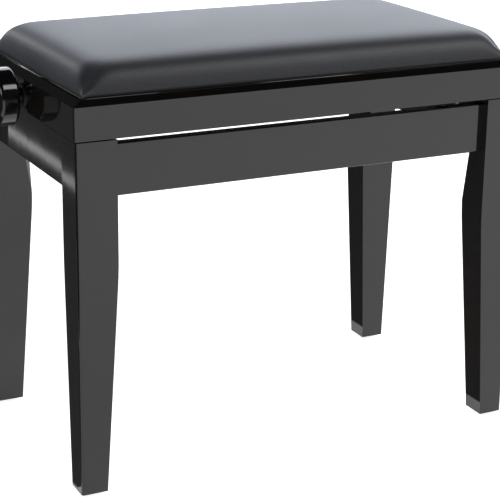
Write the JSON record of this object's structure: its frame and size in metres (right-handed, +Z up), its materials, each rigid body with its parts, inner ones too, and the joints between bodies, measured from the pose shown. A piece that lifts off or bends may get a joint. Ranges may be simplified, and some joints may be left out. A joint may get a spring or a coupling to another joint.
{
  "type": "piano bench",
  "caption": "Height-adjustable piano bench: padded vinyl seat box on a polished black frame with tapered legs, raised by a screw and scissor mechanism turned by side knobs.",
  "frame": {"origin": "on the floor, under the middle of the bench", "axes": "+X along the bench's width, to the right as seen from the front; +Y towards the rear; +Z up"},
  "size_m": [0.626, 0.32, 0.4795],
  "materials": {
    "black_lacquer": "polished black lacquer over hardwood",
    "knob_plastic": "gloss moulded",
    "stained_wood": "sawn hardwood, stained black, matt",
    "bare_wood": "sawn, unfinished",
    "plywood": "sanded birch plywood",
    "vinyl": "fine-grained black vinyl, satin",
    "foam": "open-cell upholstery foam",
    "felt": "black wool felt",
    "nylon": "moulded nylon",
    "black_steel": "black powder coat",
    "brass": "machined",
    "bright_steel": "drawn bright bar",
    "zinc_steel": "zinc plated"
  },
  "bodies": {
    "base": {"apron_dowels": "bare_wood", "apron_front": "black_lacquer", "apron_left": "black_lacquer", "apron_rear": "black_lacquer", "apron_right": "black_lacquer", "base_rail_front": "black_steel", "base_rail_rear": "black_steel", "base_rail_screws": "zinc_steel", "leg_front_left": "black_lacquer", "leg_front_right": "black_lacquer", "leg_rear_left": "black_lacquer", "leg_rear_right": "black_lacquer", "rail_end_plates": "black_steel", "corner_blocks": "stained_wood", "hanger_bolts": "zinc_steel", "bolt_washers": "zinc_steel", "bolt_nuts": "zinc_steel", "foot_glides": "nylon", "rest_pads": "felt", "lower_pivot_shaft": "bright_steel", "lower_shaft_clips": "zinc_steel"},
    "seat": {"seat_board": "plywood", "seat_board_screws": "zinc_steel", "seat_corner_blocks": "stained_wood", "seat_cover": "vinyl", "seat_foam": "foam", "seat_frame_front": "black_lacquer", "seat_frame_left": "black_lacquer", "seat_frame_rear": "black_lacquer", "seat_frame_right": "black_lacquer", "upper_rail_front": "black_steel", "upper_rail_rear": "black_steel", "upper_rail_screws": "zinc_steel", "upper_pivot_shaft": "bright_steel", "upper_shaft_clips": "zinc_steel", "spindle_bushings": "nylon"},
    "inner_arms": {"inner_arm_front": "black_steel", "inner_arm_rear": "black_steel", "drive_crossbar": "bright_steel", "drive_bushes": "nylon"},
    "outer_arms": {"outer_arm_front": "black_steel", "outer_arm_rear": "black_steel", "lower_slide_shaft": "bright_steel", "lower_slide_bushes": "nylon", "centre_rivets": "zinc_steel"},
    "spindle": {"spindle_rod": "bright_steel", "thrust_collars": "bright_steel", "knob_left": "knob_plastic", "knob_right": "knob_plastic", "knob_screws": "zinc_steel", "collar_screws": "zinc_steel"},
    "nut": {"spindle_nut": "brass"}
  },
  "joints": [
    {"name": "seat_lift", "type": "slide", "parent": "base", "child": "seat", "axis": [0, 0, 1], "range_m": [0, 0.08]},
    {"name": "inner_arm_hinge", "type": "hinge", "parent": "base", "child": "inner_arms", "pos_m": [-0.18, 0, 0.388], "axis": [0, -1, 0], "range_deg": [0, 12.95]},
    {"name": "outer_arm_hinge", "type": "hinge", "parent": "seat", "child": "outer_arms", "pos_m": [-0.18, 0, 0.407], "axis": [0, 1, 0], "range_deg": [0, 12.95]},
    {"name": "spindle_turn", "type": "hinge", "parent": "seat", "child": "spindle", "pos_m": [0, 0, 0.419], "axis": [1, 0, 0], "range_deg": [0, 2410]},
    {"name": "nut_slide", "type": "slide", "parent": "seat", "child": "nut", "axis": [-1, 0, 0], "range_m": [0, 0.01348]}
  ],
  "couplings": [
    {"joint": "inner_arm_hinge", "follows": "seat_lift", "rad_per_m": 2.8223},
    {"joint": "outer_arm_hinge", "follows": "seat_lift", "rad_per_m": 2.8223},
    {"joint": "spindle_turn", "follows": "seat_lift", "rad_per_m": 525.37},
    {"joint": "nut_slide", "follows": "seat_lift", "ratio": 0.16723}
  ]
}
